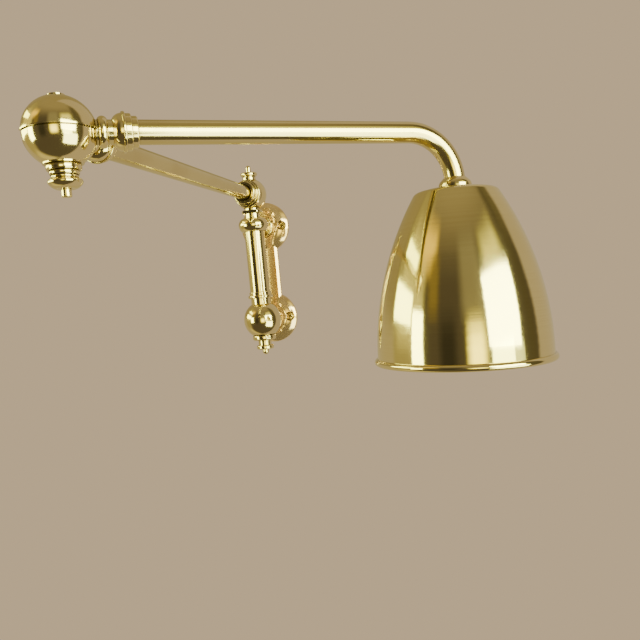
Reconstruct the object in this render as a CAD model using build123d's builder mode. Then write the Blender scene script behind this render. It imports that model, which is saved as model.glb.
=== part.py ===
from build123d import *
import os
from math import asin, cos, degrees, radians, sin, sqrt

# Swing arm wall sconce in polished brass, in millimetres.
# Origin on the wall face midway between the two roses, +X along the wall, +Y into the wall, +Z up.
# The lamp stands out from the wall towards -Y.

os.makedirs("parts", exist_ok=True)

# Fits
fit = 0.05
axial_gap = 0.1

# Wall plate: two roses joined by a bar
rose_spacing = 85.3
rose_radius = 23.1
rose_rim = 2.6
rose_height = 7.5
rose_bulge = 1.5
rose_edge_round = 1.2
bar_width = 20.0
bar_thickness = 5.0
bar_bevel = 1.8
screw_spacing = 34.6
screw_hole_radius = 2.25
screw_head_radius = 4.3
screw_head_height = 3.9

# Stems that carry the pivot in front of the roses
pivot_offset = 32.7
stem_radius = 7.5
stem_ring_radius = 10.0
stem_ring_length = 3.4
stem_round = 1.2
spigot_radius = 5.0
stem_nut_flats = 15.0
stem_nut_height = 3.0
stem_nut_sink = 1.2
stem_nut_room = 0.6
cable_radius = 3.0

# Upper knuckle, lower ball, post and the bushes in them
knuckle_radius = 13.4
knuckle_face_radius = 10.6
knuckle_height = 11.4
neck_radius = 6.75
neck_height = 3.9
swivel_washer_radius = 6.75
swivel_washer_height = 0.8
lower_ball_radius = 16.84
post_radius = 8.9
post_wall = 1.3
post_seat = 1.5
post_collar_neck_height = 5.4
post_collar_flange_radius = 11.1
post_collar_flange_height = 2.6
post_collar_ring_radius = 9.9
post_collar_ring_height = 2.9
post_collar_ring_round = 0.5
post_collar_seat = 3.2
bush_wall = 1.5
lower_bush_length = 10.0

# Hollow spindle with the turned pieces that hold it
spindle_radius = 4.0
spindle_bore_radius = 2.4
spindle_window_radius = 1.8
thrust_ring_radius = 10.5
thrust_ring_height = 5.0
bottom_neck_radius = 5.9
bottom_neck_height = 4.6
bottom_disc_radius = 7.7
bottom_disc_height = 3.6
bottom_disc_round = 1.1
bottom_tip_radius = 2.8
bottom_tip_height = 5.0
top_bead_radius = 5.85
top_bead_height = 2.6
top_groove_radius = 5.0
top_groove_height = 0.9
top_disc_radius = 7.4
top_disc_height = 3.2
top_disc_round = 1.4
top_tip_radius = 2.1
top_tip_height = 6.5

# Wall elbow that turns on the upper knuckle
flange_radius = 9.4
flange_height = 2.7
elbow_neck_radius = 6.6
elbow_neck_height = 1.7
elbow_radius = 14.0
socket_ring_radii = (12.2, 11.0, 9.9)
socket_ring_lengths = (3.6, 3.0, 4.4)
socket_mouth_radius = 7.3
socket_mouth_depth = 1.8
tube_stop = 1.3

# Arms
tube_radius = 6.35
tube_wall = 1.35
inner_reach = 266.3
outer_reach = 226.0
rest_angle = 35.8
spigot_length = 12.0

# Arm collars, as steps along the tube
collar_flare_length = 4.6
collar_flare_radius = 9.6
collar_flare_bulge = 0.7
collar_peak_length = 1.6
collar_peak_radius = 10.4
collar_ring_length = 3.0
collar_ring_radius = 9.4
collar_foot_length = 3.2
collar_foot_radius = 8.1

# Hollow ball that joins the arms
ball_radius = 18.0
ball_wall = 2.0
lip_width = 0.6
lip_height = 0.7
seam_groove = 0.7
boss_radius = 6.0
bolt_radius = 3.0
bolt_head_radius = 4.2
bolt_head_height = 1.5
eye_radius = 10.5
eye_height = 11.0
eye_neck_radius = 4.0
eye_wire_radius = 1.8
eye_edge_wall = 0.8
friction_washer_height = 0.8
ball_neck_radius = 6.25
ball_neck_length = 6.9
ball_neck_bore = 3.8
ball_bead_radius = 8.1
ball_bead_start = -0.4
ball_bead_length = 5.0
shank_start = 2.4
inner_collar_start = 8.0
notch_clearance = 0.35
slot_clearance = 0.4
elbow_fold = 6.0
elbow_open = 120.0

# Turned pieces below the ball
base_flange_radius = 9.8
base_flange_height = 0.7
base_radius = 8.2
base_height = 3.1
base_step_radius = 6.9
base_step_height = 2.2
base_foot_radius = 6.2
base_foot_height = 1.7
base_bulge = 0.35
finial_top_radius = 6.6
finial_radius = 8.4
finial_height = 2.2
finial_edge = 0.6
finial_cup_radius = 5.0
finial_cup_height = 2.9
finial_bulge = 0.4
finial_tip_radius = 2.45
finial_tip_height = 4.2

# Gooseneck, shade and its collar
bend_radius = 30.0
shade_drop = 34.0
shade_lean = 1.9
shade_height = 108.7
shade_crown_radius = 25.7
shade_crown_drop = 2.75
shade_crown_bulge = 0.3
shade_crown_round = 3.7
shade_side_radius = 198.0
shade_rim_radius = 56.4
shade_bead_radius = 2.1
shade_sheet = 0.9
shade_collar_foot_radius = 10.2
shade_collar_foot_height = 0.8
shade_collar_cone_radius = 8.8
shade_collar_cone_height = 4.2
shade_collar_top_radius = 7.0
shade_collar_height = 6.0
shade_collar_bulge = 0.4
shade_collar_room = 0.25

# Lampholder
nipple_bore_radius = 3.4
nipple_hold = 4.6
shade_washer_radius = 10.0
shade_washer_height = 1.0
lock_nut_flats = 14.0
lock_nut_height = 3.0
cap_radius = 13.2
cap_neck_radius = 7.5
cap_height = 14.0
cap_wall = 1.2
cap_roof = 3.2
holder_length = 36.0
lamp_thread_radius = 7.0
lamp_shell_wall = 0.8
lamp_shell_length = 20.0
contact_radius = 3.0
contact_height = 1.4
contact_gap = 0.6

# Heights up the wall pivot
upper_height = rose_spacing / 2
lower_height = -rose_spacing / 2
knuckle_top = upper_height + knuckle_height / 2
knuckle_bottom = upper_height - knuckle_height / 2
neck_top = knuckle_top + neck_height
flange_bottom = neck_top + swivel_washer_height + axial_gap
elbow_neck_top = flange_bottom + flange_height + elbow_neck_height
arm_height = elbow_neck_top + sqrt(elbow_radius**2 - elbow_neck_radius**2)
elbow_top = arm_height + sqrt(elbow_radius**2 - top_bead_radius**2)
lower_ball_top = lower_height + sqrt(lower_ball_radius**2 - post_radius**2)
lower_ball_bottom = lower_height - sqrt(lower_ball_radius**2 - thrust_ring_radius**2)
post_collar_flange = lower_ball_top + post_collar_neck_height
post_collar_ring = post_collar_flange + post_collar_flange_height
post_collar_top = post_collar_ring + post_collar_ring_height
thrust_ring_top = lower_ball_bottom - axial_gap
thrust_ring_bottom = thrust_ring_top - thrust_ring_height
post_bore_radius = post_radius - post_wall
bush_radius = spindle_radius + fit + bush_wall

# Places of the elbow ball, the arms and the shade
tube_bore_radius = tube_radius - tube_wall
elbow_point = Vector(0, -pivot_offset - inner_reach, arm_height)
outer_direction = Vector(cos(radians(rest_angle)), sin(radians(rest_angle)), 0)
shade_point = elbow_point + outer_direction * outer_reach - Vector(0, 0, shade_drop)
lean_sine = sin(radians(shade_lean))
lean_cosine = cos(radians(shade_lean))
shade_up = outer_direction * lean_sine + Vector(0, 0, lean_cosine)
shade_out = outer_direction * lean_cosine - Vector(0, 0, lean_sine)
cavity_radius = ball_radius - ball_wall
boss_level = eye_height / 2 + axial_gap + friction_washer_height
shank_face = ball_radius + shank_start
inner_collar_face = ball_radius + inner_collar_start
outer_collar_face = ball_radius + ball_neck_length
base_top = -sqrt(ball_radius**2 - base_flange_radius**2)
base_flange = base_top - base_flange_height
base_step = base_flange - base_height
base_foot = base_step - base_step_height
base_bottom = base_foot - base_foot_height

# Section planes: first coordinate outwards from the axis or along the arm, second up
pivot_section = Plane(origin=(0, -pivot_offset, 0), x_dir=(1, 0, 0), z_dir=(0, -1, 0))
elbow_section = Plane(origin=(0, -pivot_offset, arm_height), x_dir=(0, -1, 0), z_dir=(-1, 0, 0))
inner_section = Plane(origin=elbow_point, x_dir=(0, 1, 0), z_dir=(1, 0, 0))
outer_section = Plane(origin=elbow_point, x_dir=outer_direction, z_dir=outer_direction.cross(Vector(0, 0, 1)))
shade_section = Plane(origin=shade_point, x_dir=shade_out, z_dir=outer_section.z_dir)
shade_level = Plane(origin=shade_point, x_dir=shade_out, z_dir=shade_up)
ball_level = Plane(origin=elbow_point)
pivot_axis = Axis((0, -pivot_offset, 0), (0, 0, 1))
elbow_axis = Axis((0, -pivot_offset, arm_height), (0, -1, 0))
ball_axis = Axis(elbow_point, (0, 0, 1))
inner_axis = Axis(elbow_point, (0, 1, 0))
outer_axis = Axis(elbow_point, outer_direction)
shade_axis = Axis(shade_point, shade_up)


def rose_section(height):
    """Plane through a rose's centre: first coordinate along +X, second out from the wall."""
    return Plane(origin=(0, 0, height), x_dir=(1, 0, 0), z_dir=(0, 0, -1))


def rose_axis(height):
    """Axis of the rose at a height, pointing out from the wall."""
    return Axis((0, 0, height), (0, -1, 0))


def rim_height(sphere_radius, circle_radius):
    """Distance from a sphere's centre to the plane that cuts a circle of the given radius."""
    return sqrt(sphere_radius**2 - circle_radius**2)


def on_circle(radius, angle):
    """Point of a circle about the section's origin."""
    return (radius * cos(radians(angle)), radius * sin(radians(angle)))


def circle_angle(radius, across):
    """Angle above the first coordinate where a circle reaches a distance across."""
    return degrees(asin(across / radius))


def rings_of(piece, radius):
    """Circular edges of one radius on a piece."""
    circles = piece.edges().filter_by(GeomType.CIRCLE)
    return circles.filter_by(lambda edge: abs(edge.radius - radius) < fit)


# Backplate: a bevelled bar under two domed roses, drilled for the stems and the wall screws
nut_floor = stem_nut_sink + stem_nut_height
nut_recess_radius = stem_nut_flats / sqrt(3) + stem_nut_room
with BuildPart() as backplate:
    with BuildSketch(Plane.XZ):
        Rectangle(bar_width, rose_spacing)
    extrude(amount=bar_thickness)
    chamfer(backplate.edges().filter_by(Axis.Z).group_by(Axis.Y)[0], bar_bevel)
    for height in (upper_height, lower_height):
        with BuildSketch(rose_section(height)):
            with BuildLine():
                rim_end = (rose_radius, rose_rim)
                crown_start = (stem_ring_radius, rose_height)
                Polyline((0, 0), (rose_radius, 0), rim_end)
                SagittaArc(rim_end, crown_start, -rose_bulge)
                Polyline(crown_start, (0, rose_height), (0, 0))
            make_face()
        revolve(axis=rose_axis(height))
    rims = rings_of(backplate, rose_radius)
    fillet(rims.filter_by(lambda edge: edge.center().Y < fit - rose_rim), rose_edge_round)
    for height in (upper_height, lower_height):
        with BuildSketch(rose_section(height)):
            with BuildLine():
                Polyline(
                    (0, 0),
                    (nut_recess_radius, 0),
                    (nut_recess_radius, nut_floor),
                    (spigot_radius + fit, nut_floor),
                    (spigot_radius + fit, rose_height),
                    (0, rose_height),
                    close=True,
                )
            make_face()
        revolve(axis=rose_axis(height), mode=Mode.SUBTRACT)
        for side in (-1, 1):
            screw_plane = Plane(
                origin=(side * screw_spacing / 2, 0, height), x_dir=(1, 0, 0), z_dir=(0, 0, -1)
            )
            cone_depth = screw_head_radius - screw_hole_radius
            with BuildSketch(screw_plane):
                with BuildLine():
                    Polyline(
                        (0, 0),
                        (screw_hole_radius, 0),
                        (screw_hole_radius, screw_head_height - cone_depth),
                        (screw_head_radius, screw_head_height),
                        (screw_head_radius, rose_height),
                        (0, rose_height),
                        close=True,
                    )
                make_face()
            revolve(axis=Axis(screw_plane.origin, (0, -1, 0)), mode=Mode.SUBTRACT)
backplate.part.label = "backplate"
export_step(backplate.part, "parts/backplate.step")

# Upper knuckle: a barrel with a neck on top, carried by a ringed stem that is cut round the post
stem_bottom = upper_height - stem_radius
with BuildPart() as upper_knuckle:
    with BuildSketch(pivot_section):
        with BuildLine():
            barrel_top = (knuckle_face_radius, knuckle_top)
            barrel_bottom = (knuckle_face_radius, knuckle_bottom)
            ThreePointArc(barrel_bottom, (knuckle_radius, upper_height), barrel_top)
            Polyline(
                barrel_top,
                (neck_radius, knuckle_top),
                (neck_radius, neck_top),
                (0, neck_top),
                (0, knuckle_bottom),
                barrel_bottom,
            )
        make_face()
    revolve(axis=pivot_axis)
    with BuildSketch(rose_section(upper_height)):
        with BuildLine():
            Polyline(
                (0, stem_nut_sink),
                (spigot_radius, stem_nut_sink),
                (spigot_radius, rose_height),
                (stem_ring_radius, rose_height),
                (stem_ring_radius, rose_height + stem_ring_length),
                (stem_radius, rose_height + stem_ring_length),
                (stem_radius, pivot_offset),
                (0, pivot_offset),
                close=True,
            )
        make_face()
    revolve(axis=rose_axis(upper_height))
    fillet(rings_of(upper_knuckle, stem_ring_radius), stem_round)
    with BuildSketch(Plane.XY.offset(stem_bottom)):
        with Locations((0, -pivot_offset)):
            Circle(post_radius + fit)
    extrude(amount=knuckle_bottom + post_seat - stem_bottom, mode=Mode.SUBTRACT)
    with BuildSketch(Plane.XY.offset(stem_bottom)):
        with Locations((0, -pivot_offset)):
            Circle(bush_radius + fit)
    extrude(amount=neck_top - stem_bottom, mode=Mode.SUBTRACT)
upper_knuckle.part.label = "upper_knuckle"
export_step(upper_knuckle.part, "parts/upper_knuckle.step")

# Lower ball: flats for the post collar and the thrust ring, with the cable way through its stem
ball_reach = pivot_offset - rim_height(lower_ball_radius, stem_radius) + stem_round
with BuildPart() as lower_ball:
    with BuildSketch(pivot_section):
        with BuildLine():
            ball_foot = (thrust_ring_radius, lower_ball_bottom)
            ball_crown = (post_radius, lower_ball_top)
            ThreePointArc(ball_foot, (lower_ball_radius, lower_height), ball_crown)
            Polyline(
                ball_crown,
                (bush_radius + fit, lower_ball_top),
                (bush_radius + fit, lower_ball_bottom),
                ball_foot,
            )
        make_face()
    revolve(axis=pivot_axis)
    with BuildSketch(rose_section(lower_height)):
        with BuildLine():
            Polyline(
                (0, stem_nut_sink),
                (spigot_radius, stem_nut_sink),
                (spigot_radius, rose_height),
                (stem_ring_radius, rose_height),
                (stem_ring_radius, rose_height + stem_ring_length),
                (stem_radius, rose_height + stem_ring_length),
                (stem_radius, ball_reach),
                (0, ball_reach),
                close=True,
            )
        make_face()
    revolve(axis=rose_axis(lower_height))
    fillet(rings_of(lower_ball, stem_ring_radius), stem_round)
    with BuildSketch(Plane.XZ):
        with Locations((0, lower_height)):
            Circle(cable_radius)
    extrude(amount=pivot_offset, mode=Mode.SUBTRACT)
lower_ball.part.label = "lower_ball"
export_step(lower_ball.part, "parts/lower_ball.step")

# Hexagon nuts that hold the stems from behind, sunk in the back of the roses
for name, height in (("upper_stem_nut", upper_height), ("lower_stem_nut", lower_height)):
    with BuildPart() as stem_nut:
        with BuildSketch(Plane.XZ.offset(stem_nut_sink)):
            with Locations((0, height)):
                RegularPolygon(stem_nut_flats / sqrt(3), 6)
                Circle(spigot_radius + fit, mode=Mode.SUBTRACT)
        extrude(amount=stem_nut_height)
    stem_nut.part.label = name
    export_step(stem_nut.part, f"parts/{name}.step")

# Post collar: a turned foot that seats the post on the lower ball
with BuildPart() as post_collar:
    with BuildSketch(pivot_section):
        with BuildLine():
            Polyline(
                (post_bore_radius, lower_ball_top),
                (post_radius, lower_ball_top),
                (post_radius, post_collar_flange),
                (post_collar_flange_radius, post_collar_flange),
                (post_collar_flange_radius, post_collar_ring),
                (post_collar_ring_radius, post_collar_ring),
                (post_collar_ring_radius, post_collar_top),
                (post_radius + fit, post_collar_top),
                (post_radius + fit, post_collar_top - post_collar_seat),
                (post_bore_radius, post_collar_top - post_collar_seat),
                close=True,
            )
        make_face()
    revolve(axis=pivot_axis)
    fillet(rings_of(post_collar, post_collar_flange_radius), post_collar_flange_height / 3)
    fillet(rings_of(post_collar, post_collar_ring_radius).sort_by(Axis.Z)[-1], post_collar_ring_round)
post_collar.part.label = "post_collar"
export_step(post_collar.part, "parts/post_collar.step")

# Post: the tube between the lower ball and the upper knuckle
post_bottom = post_collar_top - post_collar_seat
post_top = knuckle_bottom + post_seat
with BuildPart() as post_tube:
    with BuildSketch(Plane.XY.offset(post_bottom)):
        with Locations((0, -pivot_offset)):
            Circle(post_radius)
            Circle(post_bore_radius, mode=Mode.SUBTRACT)
    extrude(amount=post_top - post_bottom)
post_tube.part.label = "post_tube"
export_step(post_tube.part, "parts/post_tube.step")

# Bushes that the spindle turns in
bush_spans = (
    ("upper_bush", post_top, neck_top - post_top),
    ("lower_bush", lower_ball_bottom, lower_bush_length),
)
for name, bottom, length in bush_spans:
    with BuildPart() as bush:
        with BuildSketch(Plane.XY.offset(bottom)):
            with Locations((0, -pivot_offset)):
                Circle(bush_radius)
                Circle(spindle_radius + fit, mode=Mode.SUBTRACT)
        extrude(amount=length)
    bush.part.label = name
    export_step(bush.part, f"parts/{name}.step")

# Washer under the wall elbow
with BuildPart() as swivel_washer:
    with BuildSketch(Plane.XY.offset(neck_top)):
        with Locations((0, -pivot_offset)):
            Circle(swivel_washer_radius)
            Circle(spindle_radius + fit, mode=Mode.SUBTRACT)
    extrude(amount=swivel_washer_height)
swivel_washer.part.label = "swivel_washer"
export_step(swivel_washer.part, "parts/swivel_washer.step")

# Wall elbow: a ball on a flanged neck, with a flat and a socket for the arm tube
socket_face = rim_height(elbow_radius, socket_ring_radii[0])
tube_end = spindle_radius + fit + tube_stop
with BuildPart() as wall_elbow:
    with BuildSketch(pivot_section):
        with BuildLine():
            neck_side = (elbow_neck_radius, elbow_neck_top)
            crown_side = (top_bead_radius, elbow_top)
            ThreePointArc(neck_side, (elbow_radius, arm_height), crown_side)
            Polyline(
                crown_side,
                (spindle_radius + fit, elbow_top),
                (spindle_radius + fit, flange_bottom),
                (flange_radius, flange_bottom),
                (flange_radius, flange_bottom + flange_height),
                (elbow_neck_radius, flange_bottom + flange_height),
                neck_side,
            )
        make_face()
    revolve(axis=pivot_axis)
    fillet(rings_of(wall_elbow, flange_radius), flange_height / 3)
    with BuildSketch(elbow_section):
        with BuildLine():
            Polyline(
                (spindle_radius, 0),
                (spindle_radius, tube_bore_radius),
                (tube_end, tube_bore_radius),
                (tube_end, tube_radius + fit),
                (socket_face, tube_radius + fit),
                (socket_face, 2 * elbow_radius),
                (2 * elbow_radius, 2 * elbow_radius),
                (2 * elbow_radius, 0),
                close=True,
            )
        make_face()
    revolve(axis=elbow_axis, mode=Mode.SUBTRACT)
wall_elbow.part.label = "wall_elbow"
export_step(wall_elbow.part, "parts/wall_elbow.step")

# Stepped socket rings round the arm tube, seated on the elbow's flat
socket_steps = []
socket_end = socket_face
for ring_radius, ring_length in zip(socket_ring_radii, socket_ring_lengths):
    socket_steps.append((socket_end, ring_radius))
    socket_end += ring_length
    socket_steps.append((socket_end, ring_radius))
with BuildPart() as socket_collar:
    with BuildSketch(elbow_section):
        with BuildLine():
            Polyline(
                (socket_face, tube_radius + fit),
                *socket_steps,
                (socket_end, socket_mouth_radius),
                (socket_end - socket_mouth_depth, socket_mouth_radius),
                (socket_end - socket_mouth_depth, tube_radius + fit),
                close=True,
            )
        make_face()
    revolve(axis=elbow_axis)
    for ring_radius, ring_length in zip(socket_ring_radii, socket_ring_lengths):
        fillet(rings_of(socket_collar, ring_radius).sort_by(Axis.Y)[0], ring_length / 4)
socket_collar.part.label = "socket_collar"
export_step(socket_collar.part, "parts/socket_collar.step")

# Hollow spindle from the bottom finial to the top finial, with windows for the flex
spindle_bottom = thrust_ring_bottom - bottom_neck_height
spindle_top = elbow_top + top_bead_height
with BuildPart() as pivot_spindle:
    with BuildSketch(Plane.XY.offset(spindle_bottom)):
        with Locations((0, -pivot_offset)):
            Circle(spindle_radius)
            Circle(spindle_bore_radius, mode=Mode.SUBTRACT)
    extrude(amount=spindle_top - spindle_bottom)
    window_heights = (arm_height, (post_bottom + post_top) / 2)
    with BuildSketch(Plane.XZ.offset(pivot_offset)):
        with Locations(*[(0, height) for height in window_heights]):
            Circle(spindle_window_radius)
    extrude(amount=spindle_radius, mode=Mode.SUBTRACT)
pivot_spindle.part.label = "pivot_spindle"
export_step(pivot_spindle.part, "parts/pivot_spindle.step")

# Top finial: bead, disc and tip, screwed on the spindle
top_disc_bottom = elbow_top + top_bead_height + top_groove_height
top_disc_top = top_disc_bottom + top_disc_height
with BuildPart() as top_finial:
    with BuildSketch(pivot_section):
        with BuildLine():
            tip_side = (top_tip_radius, top_disc_top + top_tip_height - top_tip_radius)
            tip_end = (0, top_disc_top + top_tip_height)
            Polyline(
                (0, spindle_top),
                (spindle_radius + fit, spindle_top),
                (spindle_radius + fit, elbow_top),
                (top_bead_radius, elbow_top),
                (top_bead_radius, elbow_top + top_bead_height),
                (top_groove_radius, elbow_top + top_bead_height),
                (top_groove_radius, top_disc_bottom),
                (top_disc_radius, top_disc_bottom),
                (top_disc_radius, top_disc_top),
                (top_tip_radius, top_disc_top),
                tip_side,
            )
            TangentArc(tip_side, tip_end, tangent=(0, 1))
            Line(tip_end, (0, spindle_top))
        make_face()
    revolve(axis=pivot_axis)
    fillet(rings_of(top_finial, top_disc_radius), top_disc_round)
    fillet(rings_of(top_finial, top_bead_radius), (top_bead_radius - top_groove_radius) / 2)
top_finial.part.label = "top_finial"
export_step(top_finial.part, "parts/top_finial.step")

# Thrust ring that runs under the lower ball
with BuildPart() as thrust_ring:
    with BuildSketch(Plane.XY.offset(thrust_ring_bottom)):
        with Locations((0, -pivot_offset)):
            Circle(thrust_ring_radius)
            Circle(spindle_radius + fit, mode=Mode.SUBTRACT)
    extrude(amount=thrust_ring_height)
    fillet(rings_of(thrust_ring, thrust_ring_radius), thrust_ring_height / 3)
thrust_ring.part.label = "thrust_ring"
export_step(thrust_ring.part, "parts/thrust_ring.step")

# Bottom finial: neck, disc and rounded tip, the nut of the spindle
bottom_disc_top = spindle_bottom
bottom_disc_bottom = bottom_disc_top - bottom_disc_height
with BuildPart() as bottom_finial:
    with BuildSketch(pivot_section):
        with BuildLine():
            tip_side = (bottom_tip_radius, bottom_disc_bottom - bottom_tip_height + bottom_tip_radius)
            tip_end = (0, bottom_disc_bottom - bottom_tip_height)
            Polyline(
                (0, spindle_bottom),
                (spindle_radius + fit, spindle_bottom),
                (spindle_radius + fit, thrust_ring_bottom),
                (bottom_neck_radius, thrust_ring_bottom),
                (bottom_neck_radius, bottom_disc_top),
                (bottom_disc_radius, bottom_disc_top),
                (bottom_disc_radius, bottom_disc_bottom),
                (bottom_tip_radius, bottom_disc_bottom),
                tip_side,
            )
            TangentArc(tip_side, tip_end, tangent=(0, -1))
            Line(tip_end, (0, spindle_bottom))
        make_face()
    revolve(axis=pivot_axis)
    fillet(rings_of(bottom_finial, bottom_disc_radius), bottom_disc_round)
bottom_finial.part.label = "bottom_finial"
export_step(bottom_finial.part, "parts/bottom_finial.step")

# Inner arm tube, from the wall elbow's socket to the shank of the hinge eye
inner_tube_length = inner_reach - tube_end - inner_collar_face
with BuildPart() as inner_arm_tube:
    with BuildSketch(Plane(origin=elbow_axis.position + elbow_axis.direction * tube_end, z_dir=(0, -1, 0))):
        Circle(tube_radius)
        Circle(tube_bore_radius, mode=Mode.SUBTRACT)
    extrude(amount=inner_tube_length)
inner_arm_tube.part.label = "inner_arm_tube"
export_step(inner_arm_tube.part, "parts/inner_arm_tube.step")

# Hinge eye: turns on the bolt inside the ball, with a slim neck through the slot and a spigot in the tube
eye_wire_place = eye_radius - eye_wire_radius - eye_edge_wall
with BuildPart() as hinge_eye:
    with BuildSketch(ball_level.offset(-eye_height / 2)):
        Circle(eye_radius)
    extrude(amount=eye_height)
    with BuildSketch(inner_section):
        with BuildLine():
            Polyline(
                (eye_wire_place, 0),
                (eye_wire_place, eye_neck_radius),
                (shank_face, eye_neck_radius),
                (shank_face, ball_neck_radius),
                (inner_collar_face, ball_neck_radius),
                (inner_collar_face, tube_bore_radius - fit),
                (inner_collar_face + spigot_length, tube_bore_radius - fit),
                (inner_collar_face + spigot_length, 0),
                close=True,
            )
        make_face()
    revolve(axis=inner_axis)
    with BuildSketch(ball_level.offset(-eye_height / 2)):
        Circle(bolt_radius + fit)
    extrude(amount=eye_height, mode=Mode.SUBTRACT)
    with BuildSketch(ball_level):
        with Locations((0, eye_wire_place)):
            Circle(eye_wire_radius)
    extrude(amount=eye_height, mode=Mode.SUBTRACT)
    with BuildSketch(Plane(origin=elbow_point + Vector(0, eye_wire_place, 0), z_dir=(0, 1, 0))):
        Circle(eye_wire_radius)
    extrude(amount=inner_reach, mode=Mode.SUBTRACT)
hinge_eye.part.label = "hinge_eye"
export_step(hinge_eye.part, "parts/hinge_eye.step")

# Flared and ringed collars on both arms
collar_peak = collar_flare_length + collar_peak_length
collar_ring = collar_peak + collar_ring_length
collar_end = collar_ring + collar_foot_length
collar_places = (
    ("inner_arm_collar", inner_section, inner_axis, inner_collar_face),
    ("outer_arm_collar", outer_section, outer_axis, outer_collar_face),
)
for name, section, axis, face in collar_places:
    with BuildPart() as arm_collar:
        with BuildSketch(section):
            with BuildLine():
                flare_start = (face, tube_radius + 4 * fit)
                flare_end = (face + collar_flare_length, collar_flare_radius)
                SagittaArc(flare_start, flare_end, collar_flare_bulge)
                Polyline(
                    flare_end,
                    (face + collar_flare_length, collar_peak_radius),
                    (face + collar_peak, collar_peak_radius),
                    (face + collar_peak, collar_ring_radius),
                    (face + collar_ring, collar_ring_radius),
                    (face + collar_ring, collar_foot_radius),
                    (face + collar_end, collar_foot_radius),
                    (face + collar_end, tube_radius + fit),
                    (face, tube_radius + fit),
                    flare_start,
                )
            make_face()
        revolve(axis=axis)
        fillet(rings_of(arm_collar, collar_peak_radius), collar_peak_length / 3)
        ring_end = rings_of(arm_collar, collar_ring_radius).sort_by(axis)[-1]
        fillet(ring_end, (collar_ring_radius - collar_foot_radius) / 2)
        foot_end = rings_of(arm_collar, collar_foot_radius).sort_by(axis)[-1]
        fillet(foot_end, (collar_foot_radius - tube_radius) / 2)
    arm_collar.part.label = name
    export_step(arm_collar.part, f"parts/{name}.step")

# Slot that the hinge eye's neck sweeps round the back of the ball
slot_half = circle_angle(cavity_radius, eye_neck_radius + slot_clearance)
slot_start = 90 - elbow_fold - slot_half
slot_arc = elbow_fold + elbow_open + 2 * slot_half
slot_direction = Vector(cos(radians(slot_start)), sin(radians(slot_start)), 0)
slot_section = Plane(
    origin=elbow_point, x_dir=slot_direction, z_dir=slot_direction.cross(Vector(0, 0, 1))
)
slot_inner = eye_radius + slot_clearance
slot_outer = ball_radius + lip_width + slot_clearance

# Ball bowl: the lower half, rebated at the seam, with its clamping boss, the outer arm's neck and the
# slot's lower half
base_angle = circle_angle(ball_radius, base_top)
groove_angle = circle_angle(ball_radius, seam_groove)
boss_angle = circle_angle(cavity_radius, rim_height(cavity_radius, boss_radius))
neck_root = rim_height(cavity_radius, ball_neck_radius)
with BuildPart() as ball_bowl:
    with BuildSketch(outer_section):
        with BuildLine():
            groove_end = on_circle(ball_radius, -groove_angle)
            ThreePointArc(
                groove_end, on_circle(ball_radius, (base_angle - groove_angle) / 2), (base_flange_radius, base_top)
            )
            Polyline(
                (base_flange_radius, base_top),
                (bolt_radius + fit, base_top),
                (bolt_radius + fit, -boss_level),
                (boss_radius, -boss_level),
                on_circle(cavity_radius, -boss_angle),
            )
            ThreePointArc(
                on_circle(cavity_radius, -boss_angle),
                on_circle(cavity_radius, -boss_angle / 2),
                (cavity_radius, 0),
            )
            Polyline(
                (cavity_radius, 0),
                (ball_radius - seam_groove, 0),
                (ball_radius - seam_groove, -seam_groove),
                groove_end,
            )
        make_face()
    revolve(axis=ball_axis)
    with BuildSketch(outer_section):
        with BuildLine():
            bead_start = (ball_radius + ball_bead_start, ball_neck_radius)
            bead_end = (ball_radius + ball_bead_start + ball_bead_length, ball_neck_radius)
            Polyline((neck_root, ball_neck_bore), (neck_root, ball_neck_radius), bead_start)
            SagittaArc(bead_start, bead_end, ball_bead_radius - ball_neck_radius)
            Polyline(
                bead_end,
                (outer_collar_face, ball_neck_radius),
                (outer_collar_face, tube_bore_radius - fit),
                (outer_collar_face + spigot_length, tube_bore_radius - fit),
                (outer_collar_face + spigot_length, ball_neck_bore),
                (neck_root, ball_neck_bore),
            )
        make_face()
    revolve(axis=outer_axis)
    with BuildSketch(outer_section):
        with BuildLine():
            Polyline(
                (eye_radius, 0),
                (eye_radius, ball_neck_bore),
                (ball_radius, ball_neck_bore),
                (ball_radius, 0),
                close=True,
            )
        make_face()
    revolve(axis=outer_axis, mode=Mode.SUBTRACT)
    with BuildSketch(slot_section):
        with BuildLine():
            Polyline(
                (slot_inner, -eye_neck_radius - slot_clearance),
                (slot_outer, -eye_neck_radius - slot_clearance),
                (slot_outer, slot_clearance),
                (slot_inner, slot_clearance),
                close=True,
            )
        make_face()
    revolve(axis=ball_axis, revolution_arc=slot_arc, mode=Mode.SUBTRACT)
ball_bowl.part.label = "ball_bowl"
export_step(ball_bowl.part, "parts/ball_bowl.step")

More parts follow.
